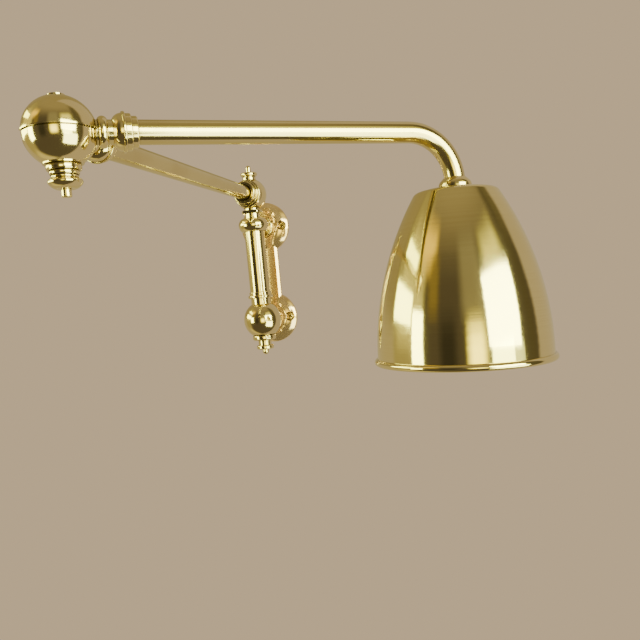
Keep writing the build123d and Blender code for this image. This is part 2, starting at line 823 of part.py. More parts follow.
# Ball lid: the upper half with a proud lip, notched round the neck and slotted like the bowl
head_level = rim_height(ball_radius, bolt_head_radius)
head_angle = circle_angle(ball_radius, head_level)
lip_angle = circle_angle(ball_radius, lip_height)
with BuildPart() as ball_lid:
    with BuildSketch(outer_section):
        with BuildLine():
            Polyline(
                (cavity_radius, 0),
                (ball_radius + lip_width, 0),
                (ball_radius + lip_width, lip_height),
                on_circle(ball_radius, lip_angle),
            )
            ThreePointArc(
                on_circle(ball_radius, lip_angle),
                on_circle(ball_radius, (lip_angle + head_angle) / 2),
                (bolt_head_radius, head_level),
            )
            Polyline(
                (bolt_head_radius, head_level),
                (bolt_radius + fit, head_level),
                (bolt_radius + fit, boss_level),
                (boss_radius, boss_level),
                on_circle(cavity_radius, boss_angle),
            )
            ThreePointArc(
                on_circle(cavity_radius, boss_angle),
                on_circle(cavity_radius, boss_angle / 2),
                (cavity_radius, 0),
            )
        make_face()
    revolve(axis=ball_axis)
    with BuildSketch(Plane(origin=elbow_point, z_dir=outer_direction)):
        Circle(ball_neck_radius + notch_clearance)
    extrude(amount=slot_outer, mode=Mode.SUBTRACT)
    with BuildSketch(slot_section):
        with BuildLine():
            Polyline(
                (slot_inner, -slot_clearance),
                (slot_outer, -slot_clearance),
                (slot_outer, eye_neck_radius + slot_clearance),
                (slot_inner, eye_neck_radius + slot_clearance),
                close=True,
            )
        make_face()
    revolve(axis=ball_axis, revolution_arc=slot_arc, mode=Mode.SUBTRACT)
ball_lid.part.label = "ball_lid"
export_step(ball_lid.part, "parts/ball_lid.step")

# Friction washers on both sides of the hinge eye
washer_bottoms = (
    ("upper_friction_washer", eye_height / 2 + axial_gap),
    ("lower_friction_washer", -boss_level),
)
for name, bottom in washer_bottoms:
    with BuildPart() as friction_washer:
        with BuildSketch(ball_level.offset(bottom)):
            Circle(boss_radius)
            Circle(bolt_radius + fit, mode=Mode.SUBTRACT)
        extrude(amount=friction_washer_height)
    friction_washer.part.label = name
    export_step(friction_washer.part, f"parts/{name}.step")

# Hinge bolt with a domed head, down through the ball into the finial
with BuildPart() as hinge_bolt:
    with BuildSketch(outer_section):
        with BuildLine():
            head_side = (bolt_head_radius, head_level + bolt_head_height / 2)
            head_top = (0, head_level + bolt_head_height)
            Polyline(
                (0, base_bottom - finial_height),
                (bolt_radius, base_bottom - finial_height),
                (bolt_radius, head_level),
                (bolt_head_radius, head_level),
                head_side,
            )
            TangentArc(head_top, head_side, tangent=(1, 0))
            Line(head_top, (0, base_bottom - finial_height))
        make_face()
    revolve(axis=ball_axis)
hinge_bolt.part.label = "hinge_bolt"
export_step(hinge_bolt.part, "parts/hinge_bolt.step")

# Base ring under the ball: a thin flange and three rounded steps
with BuildPart() as ball_base_ring:
    with BuildSketch(outer_section):
        with BuildLine():
            Polyline(
                (bolt_radius + fit, base_top),
                (base_flange_radius, base_top),
                (base_flange_radius, base_flange),
                (base_radius, base_flange),
            )
            SagittaArc((base_radius, base_flange), (base_radius, base_step), base_bulge)
            Line((base_radius, base_step), (base_step_radius, base_step))
            SagittaArc((base_step_radius, base_step), (base_step_radius, base_foot), base_bulge)
            Line((base_step_radius, base_foot), (base_foot_radius, base_foot))
            SagittaArc((base_foot_radius, base_foot), (base_foot_radius, base_bottom), base_bulge)
            Polyline(
                (base_foot_radius, base_bottom),
                (bolt_radius + fit, base_bottom),
                (bolt_radius + fit, base_top),
            )
        make_face()
    revolve(axis=ball_axis)
ball_base_ring.part.label = "ball_base_ring"
export_step(ball_base_ring.part, "parts/ball_base_ring.step")

# Ball finial: a rounded disc, a cup and a tip, the nut of the hinge bolt
finial_bottom = base_bottom - finial_height
cup_bottom = finial_bottom - finial_cup_height
tip_bottom = cup_bottom - finial_tip_height
with BuildPart() as ball_finial:
    with BuildSketch(outer_section):
        with BuildLine():
            shoulder = (finial_top_radius, base_bottom)
            brow = (finial_radius, finial_bottom + finial_edge)
            Line((bolt_radius + fit, base_bottom), shoulder)
            SagittaArc(shoulder, brow, finial_bulge)
            Line(brow, (finial_radius, finial_bottom))
            SagittaArc((finial_radius, finial_bottom), (finial_cup_radius, cup_bottom), finial_bulge)
            Polyline(
                (finial_cup_radius, cup_bottom),
                (finial_tip_radius, cup_bottom),
                (finial_tip_radius, tip_bottom),
                (0, tip_bottom),
                (0, finial_bottom),
                (bolt_radius + fit, finial_bottom),
                (bolt_radius + fit, base_bottom),
            )
        make_face()
    revolve(axis=ball_axis)
    fillet(rings_of(ball_finial, finial_tip_radius).sort_by(Axis.Z)[0], finial_tip_radius / 3)
ball_finial.part.label = "ball_finial"
export_step(ball_finial.part, "parts/ball_finial.step")

# Outer arm tube with its gooseneck down to the shade, bent a little past the upright
drop_length = (shade_drop - bend_radius * (1 + lean_sine)) / lean_cosine
bend_centre = outer_reach - bend_radius * lean_cosine + drop_length * lean_sine
with BuildPart() as outer_arm_tube:
    with BuildLine(outer_section) as gooseneck:
        Line((outer_collar_face, 0), (bend_centre, 0))
        CenterArc((bend_centre, -bend_radius), bend_radius, 90, -90 - shade_lean)
        Line(gooseneck.line @ 1, (outer_reach, -shade_drop))
    with BuildSketch(Plane(origin=gooseneck.line @ 0, z_dir=gooseneck.line % 0)):
        Circle(tube_radius)
        Circle(tube_bore_radius, mode=Mode.SUBTRACT)
    sweep(path=gooseneck.line)
outer_arm_tube.part.label = "outer_arm_tube"
export_step(outer_arm_tube.part, "parts/outer_arm_tube.step")

# Shade collar: a rounded foot and a cone round the tube's end
with BuildPart() as shade_collar:
    with BuildSketch(shade_section):
        with BuildLine():
            foot_top = (shade_collar_foot_radius, shade_collar_foot_height)
            cone_foot = (shade_collar_cone_radius, shade_collar_cone_height)
            SagittaArc(cone_foot, foot_top, shade_collar_bulge)
            Polyline(
                foot_top,
                (shade_collar_foot_radius, 0),
                (tube_radius + shade_collar_room, 0),
                (tube_radius + shade_collar_room, shade_collar_height),
                (shade_collar_top_radius, shade_collar_height),
                cone_foot,
            )
        make_face()
    revolve(axis=shade_axis)
shade_collar.part.label = "shade_collar"
export_step(shade_collar.part, "parts/shade_collar.step")

# Shade: spun sheet with a low domed crown, a round shoulder, one long curve and a rolled rim
nipple_radius = tube_bore_radius - fit
bead_centre = (shade_rim_radius - shade_bead_radius, shade_bead_radius - shade_height)
with BuildPart() as shade:
    with BuildSketch(shade_section) as sheet:
        with BuildLine():
            crown_edge = (shade_crown_radius, -shade_crown_drop)
            Line((nipple_radius + fit, 0), (shade_collar_foot_radius, 0))
            SagittaArc((shade_collar_foot_radius, 0), crown_edge, shade_crown_bulge)
            RadiusArc(crown_edge, bead_centre, shade_side_radius)
            offset(amount=shade_sheet, side=Side.RIGHT)
        make_face()
        fillet(sheet.vertices().sort_by_distance(crown_edge)[:2], shade_crown_round)
        with Locations(bead_centre):
            Circle(shade_bead_radius)
    revolve(axis=shade_axis)
shade.part.label = "shade"
export_step(shade.part, "parts/shade.step")

# Clamping stack inside the shade: washer, lock nut and the nipple that ties it to the tube
washer_bottom = -shade_sheet - shade_washer_height
nut_bottom = washer_bottom - lock_nut_height
cap_inside = nut_bottom - cap_roof
with BuildPart() as shade_washer:
    with BuildSketch(shade_level.offset(washer_bottom)):
        Circle(shade_washer_radius)
        Circle(nipple_radius + fit, mode=Mode.SUBTRACT)
    extrude(amount=shade_washer_height)
shade_washer.part.label = "shade_washer"
export_step(shade_washer.part, "parts/shade_washer.step")

with BuildPart() as lock_nut:
    with BuildSketch(shade_level.offset(nut_bottom)):
        RegularPolygon(lock_nut_flats / sqrt(3), 6)
        Circle(nipple_radius + fit, mode=Mode.SUBTRACT)
    extrude(amount=lock_nut_height)
lock_nut.part.label = "lock_nut"
export_step(lock_nut.part, "parts/lock_nut.step")

with BuildPart() as nipple:
    with BuildSketch(shade_level.offset(cap_inside)):
        Circle(nipple_radius)
        Circle(nipple_bore_radius, mode=Mode.SUBTRACT)
    extrude(amount=nipple_hold - cap_inside)
nipple.part.label = "nipple"
export_step(nipple.part, "parts/nipple.step")

# Lampholder cap: a bell screwed on the nipple
cap_bottom = nut_bottom - cap_height
cap_bore_radius = cap_radius - cap_wall
with BuildPart() as lampholder_cap:
    with BuildSketch(shade_section):
        with BuildLine():
            cap_shoulder = (cap_radius, cap_inside - cap_wall)
            Polyline((nipple_radius + fit, nut_bottom), (cap_neck_radius, nut_bottom))
            SagittaArc((cap_neck_radius, nut_bottom), cap_shoulder, cap_wall)
            Polyline(
                cap_shoulder,
                (cap_radius, cap_bottom),
                (cap_bore_radius, cap_bottom),
                (cap_bore_radius, cap_inside - 2 * cap_wall),
                (cap_neck_radius - cap_wall, cap_inside),
                (nipple_radius + fit, cap_inside),
                (nipple_radius + fit, nut_bottom),
            )
        make_face()
    revolve(axis=shade_axis)
lampholder_cap.part.label = "lampholder_cap"
export_step(lampholder_cap.part, "parts/lampholder_cap.step")

# Lampholder body: an insulating barrel inside the cap, open below for the lamp
holder_radius = cap_bore_radius - fit
holder_top = cap_inside - 2 * cap_wall - fit
holder_bottom = holder_top - holder_length
shell_radius = lamp_thread_radius + lamp_shell_wall
shell_top = holder_bottom + lamp_shell_length
contact_bottom = shell_top + contact_gap
contact_top = contact_bottom + contact_height
with BuildPart() as lampholder_body:
    with BuildSketch(shade_section):
        with BuildLine():
            Polyline(
                (0, contact_top),
                (shell_radius + fit, contact_top),
                (shell_radius + fit, holder_bottom),
                (holder_radius, holder_bottom),
                (holder_radius, holder_top),
                (0, holder_top),
                close=True,
            )
        make_face()
    revolve(axis=shade_axis)
    fillet(rings_of(lampholder_body, holder_radius).sort_by(Axis.Z)[0], (holder_radius - shell_radius) / 3)
lampholder_body.part.label = "lampholder_body"
export_step(lampholder_body.part, "parts/lampholder_body.step")

# Threaded lamp shell and the centre contact
with BuildPart() as lamp_shell:
    with BuildSketch(shade_level.offset(holder_bottom)):
        Circle(shell_radius)
        Circle(lamp_thread_radius, mode=Mode.SUBTRACT)
    extrude(amount=lamp_shell_length)
lamp_shell.part.label = "lamp_shell"
export_step(lamp_shell.part, "parts/lamp_shell.step")

with BuildPart() as centre_contact:
    with BuildSketch(shade_level.offset(contact_bottom)):
        Circle(contact_radius)
    extrude(amount=contact_height)
    fillet(centre_contact.edges().sort_by(Axis.Z)[0], contact_height / 2)
centre_contact.part.label = "centre_contact"
export_step(centre_contact.part, "parts/centre_contact.step")
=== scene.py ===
"""Looks of a polished brass swing arm wall sconce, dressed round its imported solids."""
import logging
from collections.abc import Sequence
from dataclasses import dataclass
from enum import Enum
from math import cos, pi, radians, sin, tan

import bpy
from mathutils import Matrix, Vector


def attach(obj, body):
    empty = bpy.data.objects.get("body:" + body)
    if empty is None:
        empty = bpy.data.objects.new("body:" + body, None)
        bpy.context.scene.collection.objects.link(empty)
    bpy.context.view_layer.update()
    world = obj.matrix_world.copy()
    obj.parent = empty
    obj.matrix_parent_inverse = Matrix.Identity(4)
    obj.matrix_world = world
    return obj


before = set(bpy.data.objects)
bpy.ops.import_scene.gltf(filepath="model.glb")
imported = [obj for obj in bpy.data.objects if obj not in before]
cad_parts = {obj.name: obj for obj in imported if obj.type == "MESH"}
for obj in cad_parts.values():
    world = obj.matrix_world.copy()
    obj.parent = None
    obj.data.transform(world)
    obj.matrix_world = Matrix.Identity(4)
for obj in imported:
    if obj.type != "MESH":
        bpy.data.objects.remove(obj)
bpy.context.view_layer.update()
log = logging.getLogger("sconce")

MM = 0.001
MERGE_DISTANCE = 1e-6
SMOOTH_ANGLE = radians(35)
FACING = 0.9
MIX_FIRST, MIX_SECOND, MIX_RESULT = 6, 7, 2

Colour = tuple[float, float, float]
Span = tuple[float, float]


class Working(Enum):
    """How a piece of metal was worked, which decides the marks on it."""

    CAST = "cast"
    TURNED = "turned"
    SPUN = "spun"
    DRAWN = "drawn"


@dataclass(frozen=True)
class Layout:
    """Places of the axes, in millimetres and degrees, as in the solids.

    Args:
        rose_spacing: Distance between the middles of the roses.
        pivot_offset: Distance of the wall pivot from the wall face.
        arm_height: Height of the arms above the point midway between the roses.
        inner_reach: Distance from the wall pivot to the ball's bolt.
        outer_reach: Distance from the ball's bolt to the shade.
        rest_angle: Turn of the outer arm at rest, from straight right towards the wall.
        shade_drop: Depth of the shade's crown below the arms.
        shade_lean: Lean of the shade's axis, with its top away from the ball.
    """

    rose_spacing: float = 85.3
    pivot_offset: float = 32.7
    arm_height: float = 69.897
    inner_reach: float = 266.3
    outer_reach: float = 226.0
    rest_angle: float = 35.8
    shade_drop: float = 34.0
    shade_lean: float = 1.9

    @property
    def outer_direction(self) -> Vector:
        """Direction of the outer arm at rest."""
        return Vector((cos(radians(self.rest_angle)), sin(radians(self.rest_angle)), 0))

    @property
    def shade_up(self) -> Vector:
        """Direction of the shade's axis, upwards."""
        lean = radians(self.shade_lean)
        return self.outer_direction * sin(lean) + Vector((0, 0, cos(lean)))

    @property
    def shade_out(self) -> Vector:
        """Direction across the shade's axis, away from the ball."""
        lean = radians(self.shade_lean)
        return self.outer_direction * cos(lean) - Vector((0, 0, sin(lean)))

    @property
    def pivot(self) -> Vector:
        """Point of the wall pivot midway between the roses, in metres."""
        return Vector((0, -self.pivot_offset, 0)) * MM

    @property
    def elbow(self) -> Vector:
        """Centre of the ball between the arms, in metres."""
        return Vector((0, -self.pivot_offset - self.inner_reach, self.arm_height)) * MM

    @property
    def shade_top(self) -> Vector:
        """Centre of the shade's crown, in metres."""
        along = self.outer_direction * self.outer_reach
        return self.elbow + (along - Vector((0, 0, self.shade_drop))) * MM


LAYOUT = Layout()


@dataclass(frozen=True)
class Axis:
    """A turning axis or the run of a tube.

    Args:
        name: Short name used in material names.
        origin: A point of the axis, in metres.
        direction: Unit vector along the axis.
        side: Unit vector across the axis, in the plane of a turned outline.
    """

    name: str
    origin: Vector
    direction: Vector
    side: Vector

    def place(self, radius: float, height: float) -> Vector:
        """Gives a point of an outline.

        Args:
            radius: Distance from the axis, in millimetres.
            height: Distance along the axis, in millimetres.

        Returns:
            The point in metres.
        """
        return self.origin + (self.side * radius + self.direction * height) * MM


UP = Vector((0, 0, 1))
RIGHT = Vector((1, 0, 0))
OUT = Vector((0, -1, 0))
PIVOT_AXIS = Axis("pivot", LAYOUT.pivot, UP, RIGHT)
BALL_AXIS = Axis("ball", LAYOUT.elbow, UP, RIGHT)
SHADE_AXIS = Axis("shade", LAYOUT.shade_top, LAYOUT.shade_up, LAYOUT.shade_out)
INNER_AXIS = Axis("inner_arm", LAYOUT.elbow, -OUT, UP)
OUTER_AXIS = Axis("outer_arm", LAYOUT.elbow, LAYOUT.outer_direction, UP)


class NodeBench:
    """Adds and joins the nodes of one shader tree."""

    def __init__(self, tree: bpy.types.NodeTree) -> None:
        """Empties the tree."""
        self.tree = tree
        tree.nodes.clear()

    def add(self, kind: str, inputs: dict | None = None, **settings: object) -> bpy.types.Node:
        """Adds a node.

        Args:
            kind: Type name of the node.
            inputs: Values or sockets for its inputs, by name or number.
            settings: Properties of the node.

        Returns:
            The new node.
        """
        node = self.tree.nodes.new(kind)
        for name, value in settings.items():
            setattr(node, name, value)
        for name, value in (inputs or {}).items():
            if isinstance(value, bpy.types.NodeSocket):
                self.tree.links.new(value, node.inputs[name])
            else:
                node.inputs[name].default_value = value
        return node

    def math(self, operation: str, first: object, second: object = 0.0) -> bpy.types.NodeSocket:
        """Joins two numbers with a math node and returns its result."""
        return self.add("ShaderNodeMath", {0: first, 1: second}, operation=operation).outputs[0]

    def vector(self, operation: str, first: object, second: object) -> bpy.types.NodeSocket:
        """Joins two vectors and returns the resulting vector."""
        joined = self.add("ShaderNodeVectorMath", {0: first, 1: second}, operation=operation)
        return joined.outputs["Vector"]

    def scaled(self, vector: object, factor: object) -> bpy.types.NodeSocket:
        """Scales a vector and returns the result."""
        inputs = {0: vector, "Scale": factor}
        return self.add("ShaderNodeVectorMath", inputs, operation="SCALE").outputs["Vector"]

    def noise(self, place: object, scale: float, detail: float) -> bpy.types.NodeSocket:
        """Draws noise over a place and returns its strength, from 0 to 1."""
        inputs = {"Vector": place, "Scale": scale, "Detail": detail}
        return self.add("ShaderNodeTexNoise", inputs).outputs["Fac"]

    def bump(self, height: object, depth: float, under: object = None) -> bpy.types.NodeSocket:
        """Adds relief and returns the normal.

        Args:
            height: Socket of the relief, from 0 to 1.
            depth: Depth of the relief, in metres.
            under: Socket of the normal that the relief is added to, if it isn't the surface's own.

        Returns:
            Socket of the normal with the relief in it.
        """
        inputs = {"Height": height, "Distance": depth, "Strength": 1.0}
        if under is not None:
            inputs["Normal"] = under
        return self.add("ShaderNodeBump", inputs).outputs["Normal"]

    def spread(self, value: object, edges: Span, to: Span) -> bpy.types.NodeSocket:
        """Maps a range of a number smoothly to another range.

        Args:
            value: The number's socket.
            edges: Start and end of the range.
            to: What the start and the end become.

        Returns:
            The mapped number's socket.
        """
        inputs = {
            "Value": value,
            "From Min": edges[0],
            "From Max": edges[1],
            "To Min": to[0],
            "To Max": to[1],
        }
        mapped = self.add("ShaderNodeMapRange", inputs, interpolation_type="SMOOTHSTEP")
        return mapped.outputs["Result"]

    def mix(self, factor: object, first: object, second: object) -> bpy.types.NodeSocket:
        """Mixes two colours by a factor and returns the result."""
        inputs = {"Factor": factor, MIX_FIRST: first, MIX_SECOND: second}
        return self.add("ShaderNodeMix", inputs, data_type="RGBA").outputs[MIX_RESULT]


def rgba(colour: Colour) -> tuple[float, float, float, float]:
    """Adds full opacity to a colour."""
    return (*colour, 1.0)


def blank_material(name: str) -> tuple[bpy.types.Material, NodeBench]:
    """Makes a material without nodes.

    Args:
        name: Name of the material.

    Returns:
        The material and the bench for its nodes.
    """
    made = bpy.data.materials.new(name)
    made.use_nodes = True
    return made, NodeBench(made.node_tree)


@dataclass(frozen=True)
class Measure:
    """A point measured against an axis, as sockets.

    Args:
        offset: Offset from the axis's origin.
        along: Distance along the axis.
        foot: Offset of the nearest point of the axis.
        across: Distance from the axis.
    """

    offset: bpy.types.NodeSocket
    along: bpy.types.NodeSocket
    foot: bpy.types.NodeSocket
    across: bpy.types.NodeSocket

    @classmethod
    def take(cls, bench: NodeBench, place: object, axis: Axis) -> "Measure":
        """Measures a point.

        Args:
            bench: The material's nodes.
            place: Socket of the object coordinates.
            axis: The axis.

        Returns:
            The measured point.
        """
        offset = bench.vector("SUBTRACT", place, axis.origin)
        dot = {0: offset, 1: axis.direction}
        along = bench.add("ShaderNodeVectorMath", dot, operation="DOT_PRODUCT").outputs["Value"]
        foot = bench.scaled(axis.direction, along)
        spoke = {0: bench.vector("SUBTRACT", offset, foot)}
        across = bench.add("ShaderNodeVectorMath", spoke, operation="LENGTH").outputs["Value"]
        return cls(offset, along, foot, across)


@dataclass(frozen=True)
class Finish:
    """What a surface looks like.

    Args:
        name: Name of the finish.
        colour: Main colour.
    """

    name: str
    colour: Colour

    def material(self, axis: Axis) -> bpy.types.Material:
        """Makes the material for pieces on one axis.

        Args:
            axis: The axis that the marks follow.

        Returns:
            The material, made once for each finish and axis.
        """
        name = f"{self.name}_{axis.name}"
        if name in bpy.data.materials:
            return bpy.data.materials[name]
        made, bench = blank_material(name)
        place = bench.add("ShaderNodeTexCoord").outputs["Object"]
        shader = bench.add("ShaderNodeBsdfPrincipled", self._surface(bench, place, axis))
        bench.add("ShaderNodeOutputMaterial", {"Surface": shader.outputs["BSDF"]})
        return made

    def _surface(self, bench: NodeBench, place: object, axis: Axis) -> dict[str, object]:
        """Gives the shader's inputs by name."""
        raise NotImplementedError


@dataclass(frozen=True)
class MetalFinish(Finish):
    """A metal finish with its tarnish, its tool marks, and the darkening of its recesses, which is
    dirt and painted shade.

    Args:
        tarnish: Colour of the dulled metal.
        polish: Roughness of the clean metal.
        haze: Roughness added in tarnished patches and in the darkened recesses.
        dulling: Share of tarnish in the dull patches.
        grime_and_shade: Share of darkening in the recesses, which is dirt there and painted shade.
        working: How the metal was worked.
        mark_pitch: Distance between tool marks, in metres.
        mark_depth: Depth of the tool marks, in metres.
        wave_pitch: Distance between waves of the surface, in metres.
        wave_depth: Depth of those waves, in metres.
        stretch: How far the gloss stretches across the tool marks, from 0 to 1.
        stretch_turn: Turn of the stretched gloss from along the marks, in whole turns.
        streak: Share of tarnish along the tool marks.
        streak_edges: Heights of the tool marks between which the streaks grow.
        bare: Share of bare metal, under 1 where a film of lacquer hazes it.
        patch_scale: Patches of tarnish to the metre.
        patch_edges: Strengths of the noise between which a patch grows.
        dirt_and_shade_colour: Colour of the recesses' darkening, dirt and painted shade.
        recess_reach: How far a recess is felt, in metres.
        recess_edges: Open shares of the sky between which the recesses' dirt and painted shade
            fade.
        speck_scale: Specks to the metre.
        speck_edges: Strengths of the noise between which a speck grows.
        speck_gloss: What the specks multiply the roughness by.
        drawn_out: Share of the way along a drawn tube that its marks ignore, so they run long.
    """

    tarnish: Colour
    polish: float
    haze: float
    dulling: float
    grime_and_shade: float
    working: Working
    mark_pitch: float
    mark_depth: float
    wave_pitch: float
    wave_depth: float
    stretch: float = 0.0
    stretch_turn: float = 0.25
    streak: float = 0.0
    streak_edges: Span = (0.35, 0.65)
    bare: float = 1.0
    patch_scale: float = 26.0
    patch_edges: Span = (0.42, 0.72)
    dirt_and_shade_colour: Colour = (0.075, 0.045, 0.015)
    recess_reach: float = 0.003
    recess_edges: Span = (0.3, 0.75)
    speck_scale: float = 900.0
    speck_edges: Span = (0.35, 0.75)
    speck_gloss: Span = (0.85, 1.15)
    drawn_out: float = 0.97

    def _surface(self, bench: NodeBench, place: object, axis: Axis) -> dict[str, object]:
        """Gives the shader's inputs by name.

        Args:
            bench: The material's nodes.
            place: Socket of the object coordinates.
            axis: The axis that the tool marks follow.

        Returns:
            Values and sockets for the shader.
        """
        measure = Measure.take(bench, place, axis)
        marks = self._marks(bench, measure, self.mark_pitch)
        waves = self._marks(bench, measure, self.wave_pitch)
        blotches = bench.noise(place, self.patch_scale, detail=5.0)
        patch = bench.spread(blotches, self.patch_edges, (0.0, self.dulling))
        # Ambient occlusion finds the recesses; their darkening below is dirt and painted shade.
        sky = bench.add("ShaderNodeAmbientOcclusion", {"Distance": self.recess_reach}, samples=6)
        recess = bench.spread(sky.outputs["AO"], self.recess_edges, (self.grime_and_shade, 0.0))
        surface = {
            "Base Color": self._tint(bench, patch, recess, marks),
            "Roughness": self._roughness(bench, place, bench.math("MAXIMUM", patch, recess)),
            "Metallic": self.bare,
            "Normal": bench.bump(marks, self.mark_depth, bench.bump(waves, self.wave_depth)),
        }
        if self.stretch:
            surface["Anisotropic"] = self.stretch
            surface["Anisotropic Rotation"] = self.stretch_turn
            surface["Tangent"] = bench.vector("CROSS_PRODUCT", axis.direction, measure.offset)
        return surface

    def _tint(
        self, bench: NodeBench, patch: object, recess: object, marks: object
    ) -> bpy.types.NodeSocket:
        """Colours the metal, with tarnish and with dirt and painted shade in the recesses.

        Args:
            bench: The material's nodes.
            patch: Socket of the share of tarnish in patches.
            recess: Socket of the share of darkening in the recesses, dirt and painted shade.
            marks: Socket of the tool marks' height.

        Returns:
            Socket of the colour.
        """
        streaks = bench.spread(marks, self.streak_edges, (0.0, self.streak))
        dulled = bench.math("MAXIMUM", patch, streaks)
        worn = bench.mix(dulled, rgba(self.colour), rgba(self.tarnish))
        # Darkens the recesses towards the dirt colour: dirt, and painted shade where light is
        # blocked.
        return bench.mix(recess, worn, rgba(self.dirt_and_shade_colour))

    def _roughness(self, bench: NodeBench, place: object, stain_and_shade: object) -> bpy.types.NodeSocket:
        """Roughens the polish with fine specks and with stains.

        Args:
            bench: The material's nodes.
            place: Socket of the object coordinates.
            stain_and_shade: Socket of the share of tarnish and of the recesses' dirt and painted
                shade.

        Returns:
            Socket of the roughness.
        """
        specks = bench.noise(place, self.speck_scale, detail=2.0)
        fine = bench.spread(specks, self.speck_edges, self.speck_gloss)
        clean = bench.math("MULTIPLY", fine, self.polish)
        return bench.math("ADD", clean, bench.math("MULTIPLY", stain_and_shade, self.haze))

    def _marks(self, bench: NodeBench, measure: Measure, pitch: float) -> bpy.types.NodeSocket:
        """Draws marks of one pitch in the way that the metal was worked.

        Args:
            bench: The material's nodes.
            measure: The point against the axis of the piece.
            pitch: Distance between marks, in metres.

        Returns:
            Socket of the marks' height, from 0 to 1.
        """
        if self.working in (Working.TURNED, Working.SPUN):
            run = bench.math("ADD", measure.along, measure.across)
            groove = bench.math("MULTIPLY", run, 1 / pitch)
            inputs = {"W": groove, "Scale": 1.0, "Detail": 1.0}
            rings = bench.add("ShaderNodeTexNoise", inputs, noise_dimensions="1D")
            return rings.outputs["Fac"]
        if self.working is Working.DRAWN:
            most = bench.scaled(measure.foot, self.drawn_out)
            drawn = bench.vector("SUBTRACT", measure.offset, most)
            return bench.noise(drawn, 1 / pitch, detail=1.0)
        return bench.noise(measure.offset, 1 / pitch, detail=2.0)


@dataclass(frozen=True)
class MouldedFinish(Finish):
    """A dull moulded finish, such as fibre or holder insulation.

    Args:
        fleck: Colour of the flecks.
        roughness: Roughness of the surface.
        grain: Flecks to the metre.
        depth: Depth of the grain, in metres.
        fleck_edges: Strengths of the noise between which a fleck grows.
        gloss_edges: Strengths of the noise between which the roughness rises.
        gloss_range: What the grain multiplies the roughness by.
    """

    fleck: Colour
    roughness: float
    grain: float
    depth: float
    fleck_edges: Span = (0.4, 0.65)
    gloss_edges: Span = (0.3, 0.7)
    gloss_range: Span = (0.8, 1.2)

    def _surface(self, bench: NodeBench, place: object, axis: Axis) -> dict[str, object]:
        """Gives the shader's inputs by name; the axis isn't needed.

        Args:
            bench: The material's nodes.
            place: Socket of the object coordinates.
            axis: The axis of the piece.

        Returns:
            Values and sockets for the shader.
        """
        grain = bench.noise(place, self.grain, detail=6.0)
        flecks = bench.spread(grain, self.fleck_edges, (0.0, 1.0))
        smoothest, roughest = (self.roughness * share for share in self.gloss_range)
        return {
            "Base Color": bench.mix(flecks, rgba(self.colour), rgba(self.fleck)),
            "Roughness": bench.spread(grain, self.gloss_edges, (smoothest, roughest)),
            "Normal": bench.bump(grain, self.depth),
        }


TURNED_BRASS = MetalFinish(
    name="turned_brass", colour=(0.88, 0.77, 0.4), tarnish=(0.5, 0.36, 0.13),
    polish=0.11, haze=0.22, dulling=0.16, grime_and_shade=0.9, working=Working.TURNED,
    mark_pitch=0.0004, mark_depth=1.2e-6, wave_pitch=0.004, wave_depth=4e-6,
)
DRAWN_BRASS = MetalFinish(
    name="drawn_brass", colour=(0.8, 0.7, 0.36), tarnish=(0.48, 0.36, 0.13),
    polish=0.12, haze=0.2, dulling=0.26, grime_and_shade=0.85, working=Working.DRAWN,
    mark_pitch=0.0006, mark_depth=1.5e-6, wave_pitch=0.005, wave_depth=6e-6,
)
SPUN_BRASS = MetalFinish(
    name="spun_brass", colour=(0.88, 0.785, 0.41), tarnish=(0.56, 0.43, 0.16),
    polish=0.1, haze=0.14, dulling=0.12, grime_and_shade=0.85, working=Working.SPUN,
    mark_pitch=0.0009, mark_depth=7e-6, wave_pitch=0.012, wave_depth=1.3e-4,
    stretch=0.5, streak=0.09,
)
CAST_BRASS = MetalFinish(
    name="cast_brass", colour=(0.84, 0.63, 0.38), tarnish=(0.6, 0.38, 0.18),
    polish=0.14, haze=0.04, dulling=0.35, grime_and_shade=0.9, working=Working.CAST,
    mark_pitch=0.0012, mark_depth=1e-6, wave_pitch=0.012, wave_depth=1e-5,
    patch_scale=18.0, bare=0.9,
)
SCREW_BRASS = MetalFinish(
    name="screw_brass", colour=(0.72, 0.57, 0.3), tarnish=(0.2, 0.14, 0.06),
    polish=0.22, haze=0.3, dulling=0.5, grime_and_shade=0.85, working=Working.TURNED,
    mark_pitch=0.0003, mark_depth=2e-6, wave_pitch=0.003, wave_depth=4e-6,
)
BUSH_BRONZE = MetalFinish(
    name="bush_bronze", colour=(0.72, 0.5, 0.27), tarnish=(0.3, 0.18, 0.07),
    polish=0.28, haze=0.2, dulling=0.3, grime_and_shade=0.6, working=Working.TURNED,
    mark_pitch=0.0003, mark_depth=3e-6, wave_pitch=0.003, wave_depth=4e-6,
)
ZINC_STEEL = MetalFinish(
    name="zinc_steel", colour=(0.66, 0.66, 0.64), tarnish=(0.3, 0.28, 0.24),
    polish=0.3, haze=0.2, dulling=0.35, grime_and_shade=0.5, working=Working.TURNED,
    mark_pitch=0.0004, mark_depth=3e-6, wave_pitch=0.003, wave_depth=4e-6,
)
LAMP_NICKEL = MetalFinish(
    name="lamp_nickel", colour=(0.76, 0.72, 0.64), tarnish=(0.36, 0.3, 0.22),
    polish=0.18, haze=0.2, dulling=0.25, grime_and_shade=0.6, working=Working.TURNED,
    mark_pitch=0.0004, mark_depth=2e-6, wave_pitch=0.003, wave_depth=4e-6,
)
DARK_FIBRE = MouldedFinish(
    name="dark_fibre", colour=(0.035, 0.025, 0.02), fleck=(0.09, 0.06, 0.04),
    roughness=0.7, grain=700.0, depth=2e-5,
)
BAKELITE = MouldedFinish(
    name="bakelite", colour=(0.028, 0.022, 0.018), fleck=(0.06, 0.04, 0.03),
    roughness=0.34, grain=350.0, depth=6e-6,
)


